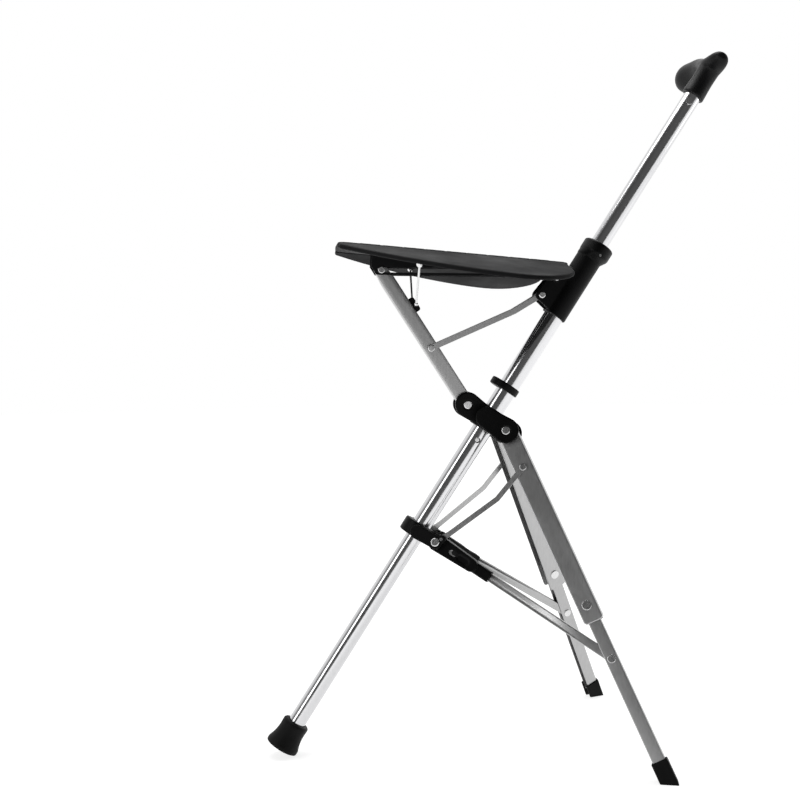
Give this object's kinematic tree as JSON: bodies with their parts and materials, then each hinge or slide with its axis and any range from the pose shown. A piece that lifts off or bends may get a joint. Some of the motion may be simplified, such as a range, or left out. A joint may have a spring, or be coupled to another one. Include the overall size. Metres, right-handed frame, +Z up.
{
  "type": "walking stick seat",
  "caption": "Walking stick that opens into a stool: crosswise handle, sliding frame, splayed folding rear legs and a winged seat carried on a slotted track.",
  "frame": {"origin": "centre of the bounding box on the floor, standing open", "axes": "+Z up, +X towards the rear legs and handle, +Y towards the beak of the handle (right side)"},
  "size_m": [0.5082, 0.3236, 0.7547],
  "materials": {
    "polished_tube": "polished tube",
    "leg_channel": "satin anodised channel",
    "black_moulding": "black moulded plastic, slightly satin",
    "seat_plastic": "black moulded plastic with a fine grain",
    "grip_plastic": "black, satin gloss",
    "black_rubber": "matt black rubber",
    "bright_steel": "zinc plated",
    "spring_steel": "plain spring steel"
  },
  "bodies": {
    "cane": {"inner_tube": "polished_tube", "handle": "grip_plastic", "main_foot": "black_rubber", "foot_washer": "bright_steel", "lock_spring": "spring_steel", "key_spring": "spring_steel"},
    "outer_frame": {"outer_tube": "polished_tube", "top_bracket": "black_moulding", "collar_pin": "bright_steel", "seat_pins": "bright_steel", "brace_bolt": "bright_steel", "stop_disc": "black_moulding", "lower_ring": "black_moulding", "strut_screws": "bright_steel", "stay_pins": "bright_steel"},
    "middle_block": {"sliding_block": "black_moulding", "arm_bolt": "bright_steel", "leg_bolts": "bright_steel"},
    "front_arm": {"front_arm": "leg_channel", "wire_clip": "black_moulding"},
    "brace": {"brace_bars": "leg_channel", "brace_rivets": "bright_steel"},
    "glider": {"glider_pin": "bright_steel"},
    "seat": {"seat_panel": "seat_plastic", "seat_tracks": "seat_plastic", "seat_screws": "bright_steel", "hinge_pins": "bright_steel"},
    "wing_right": {"wing_right": "seat_plastic", "wire_pin_right": "bright_steel"},
    "wire_right": {"wing_wire_right": "bright_steel"},
    "upper_leg_right": {"upper_leg_right": "leg_channel", "knee_rivet_right": "bright_steel"},
    "lower_leg_right": {"lower_leg_right": "leg_channel", "strut_rivets_right": "bright_steel", "rubber_foot_right": "black_rubber"},
    "strut_right": {"strut_right": "leg_channel", "strut_end_right": "black_moulding", "strut_end_pins_right": "bright_steel"},
    "stay_right": {"stay_right": "leg_channel", "stay_rivet_right": "bright_steel"},
    "lock_right": {"lock_button_right": "bright_steel"},
    "wing_left": {"wing_left": "seat_plastic", "wire_pin_left": "bright_steel"},
    "wire_left": {"wing_wire_left": "bright_steel"},
    "upper_leg_left": {"upper_leg_left": "leg_channel", "knee_rivet_left": "bright_steel"},
    "lower_leg_left": {"lower_leg_left": "leg_channel", "strut_rivets_left": "bright_steel", "rubber_foot_left": "black_rubber"},
    "strut_left": {"strut_left": "leg_channel", "strut_end_left": "black_moulding", "strut_end_pins_left": "bright_steel"},
    "stay_left": {"stay_left": "leg_channel", "stay_rivet_left": "bright_steel"},
    "lock_left": {"lock_button_left": "bright_steel"},
    "handle_button": {"handle_button": "bright_steel"}
  },
  "joints": [
    {"name": "frame_slide", "type": "slide", "parent": "cane", "child": "outer_frame", "axis": [0.5476, 0, 0.8368], "range_m": [0, 0.186]},
    {"name": "fold_slide", "type": "slide", "parent": "outer_frame", "child": "middle_block", "axis": [-0.5476, 0, -0.8368], "range_m": [0, 0.061]},
    {"name": "arm_hinge", "type": "hinge", "parent": "middle_block", "child": "front_arm", "pos_m": [-0.03446, 0, 0.37508], "axis": [0, 1, 0], "range_deg": [0, 65.5]},
    {"name": "brace_hinge", "type": "hinge", "parent": "outer_frame", "child": "brace", "pos_m": [0.04637, 0, 0.49129], "axis": [0, -1, 0], "range_deg": [0, 30.03]},
    {"name": "glider_hinge", "type": "hinge", "parent": "front_arm", "child": "glider", "pos_m": [-0.1246, 0, 0.51767], "axis": [0, -1, 0], "range_deg": [0, 122.3]},
    {"name": "seat_slide", "type": "slide", "parent": "glider", "child": "seat", "axis": [-0.9999, 0, 0.0104], "range_m": [0, 0.1285]},
    {"name": "wing_hinge_right", "type": "hinge", "parent": "seat", "child": "wing_right", "pos_m": [0.06256, 0.0417, 0.52199], "axis": [-0.9962, 0, 0.0872], "range_deg": [0, 76.5]},
    {"name": "wire_hinge_right", "type": "hinge", "parent": "wing_right", "child": "wire_right", "pos_m": [-0.08853, 0.04804, 0.52129], "axis": [0.4314, -0.7404, 0.5154], "range_deg": [0, 83.82]},
    {"name": "leg_hinge_right", "type": "hinge", "parent": "middle_block", "child": "upper_leg_right", "pos_m": [0.00593, 0.02484, 0.34626], "axis": [0.3202, -0.9239, -0.2095], "range_deg": [0, 122.7]},
    {"name": "knee_hinge_right", "type": "hinge", "parent": "upper_leg_right", "child": "lower_leg_right", "pos_m": [0.07687, 0.08925, 0.17071], "axis": [-0.3202, 0.9239, 0.2095], "range_deg": [0, 180]},
    {"name": "strut_hinge_right", "type": "hinge", "parent": "outer_frame", "child": "strut_right", "pos_m": [-0.07018, 0.02484, 0.22995], "axis": [0.3202, -0.9239, -0.2095], "range_deg": [0, 90.32]},
    {"name": "stay_hinge_right", "type": "hinge", "parent": "outer_frame", "child": "stay_right", "pos_m": [-0.06417, 0.02622, 0.23306], "axis": [0.3202, -0.9239, -0.2095], "range_deg": [0, 18.11]},
    {"name": "lock_button_right", "type": "slide", "parent": "cane", "child": "lock_right", "axis": [0, 1, 0], "range_m": [0, 0.0022], "stiffness_N_per_m": 400, "springref_m": 0.003},
    {"name": "wing_hinge_left", "type": "hinge", "parent": "seat", "child": "wing_left", "pos_m": [0.06256, -0.0417, 0.52199], "axis": [0.9962, 0, -0.0872], "range_deg": [0, 76.5]},
    {"name": "wire_hinge_left", "type": "hinge", "parent": "wing_left", "child": "wire_left", "pos_m": [-0.08853, -0.04804, 0.52129], "axis": [-0.4314, -0.7404, -0.5154], "range_deg": [0, 83.82]},
    {"name": "leg_hinge_left", "type": "hinge", "parent": "middle_block", "child": "upper_leg_left", "pos_m": [0.00593, -0.02484, 0.34626], "axis": [-0.3202, -0.9239, 0.2095], "range_deg": [0, 122.7]},
    {"name": "knee_hinge_left", "type": "hinge", "parent": "upper_leg_left", "child": "lower_leg_left", "pos_m": [0.07687, -0.08925, 0.17071], "axis": [0.3202, 0.9239, -0.2095], "range_deg": [0, 180]},
    {"name": "strut_hinge_left", "type": "hinge", "parent": "outer_frame", "child": "strut_left", "pos_m": [-0.07018, -0.02484, 0.22995], "axis": [-0.3202, -0.9239, 0.2095], "range_deg": [0, 90.32]},
    {"name": "stay_hinge_left", "type": "hinge", "parent": "outer_frame", "child": "stay_left", "pos_m": [-0.06417, -0.02622, 0.23306], "axis": [-0.3202, -0.9239, 0.2095], "range_deg": [0, 18.11]},
    {"name": "lock_button_left", "type": "slide", "parent": "cane", "child": "lock_left", "axis": [0, -1, 0], "range_m": [0, 0.0022], "stiffness_N_per_m": 400, "springref_m": 0.003},
    {"name": "handle_button_press", "type": "slide", "parent": "cane", "child": "handle_button", "axis": [0.1453, 0.9848, -0.0951], "range_m": [0, 0.0016], "stiffness_N_per_m": 900, "springref_m": -0.0005}
  ],
  "couplings": [
    {"joint": "arm_hinge", "follows": "fold_slide", "rad_per_m": 18.741},
    {"joint": "brace_hinge", "follows": "fold_slide", "rad_per_m": 8.5917},
    {"joint": "glider_hinge", "follows": "fold_slide", "rad_per_m": 34.992},
    {"joint": "seat_slide", "follows": "fold_slide", "ratio": 2.1066},
    {"joint": "wing_hinge_right", "follows": "fold_slide", "rad_per_m": 21.888},
    {"joint": "wire_hinge_right", "follows": "fold_slide", "rad_per_m": 23.982},
    {"joint": "leg_hinge_right", "follows": "fold_slide", "rad_per_m": 35.107},
    {"joint": "knee_hinge_right", "follows": "fold_slide", "rad_per_m": 51.502},
    {"joint": "strut_hinge_right", "follows": "fold_slide", "rad_per_m": 25.843},
    {"joint": "stay_hinge_right", "follows": "fold_slide", "rad_per_m": 5.1813},
    {"joint": "wing_hinge_left", "follows": "fold_slide", "rad_per_m": 21.888},
    {"joint": "wire_hinge_left", "follows": "fold_slide", "rad_per_m": 23.982},
    {"joint": "leg_hinge_left", "follows": "fold_slide", "rad_per_m": 35.107},
    {"joint": "knee_hinge_left", "follows": "fold_slide", "rad_per_m": 51.502},
    {"joint": "strut_hinge_left", "follows": "fold_slide", "rad_per_m": 25.843},
    {"joint": "stay_hinge_left", "follows": "fold_slide", "rad_per_m": 5.1813}
  ]
}
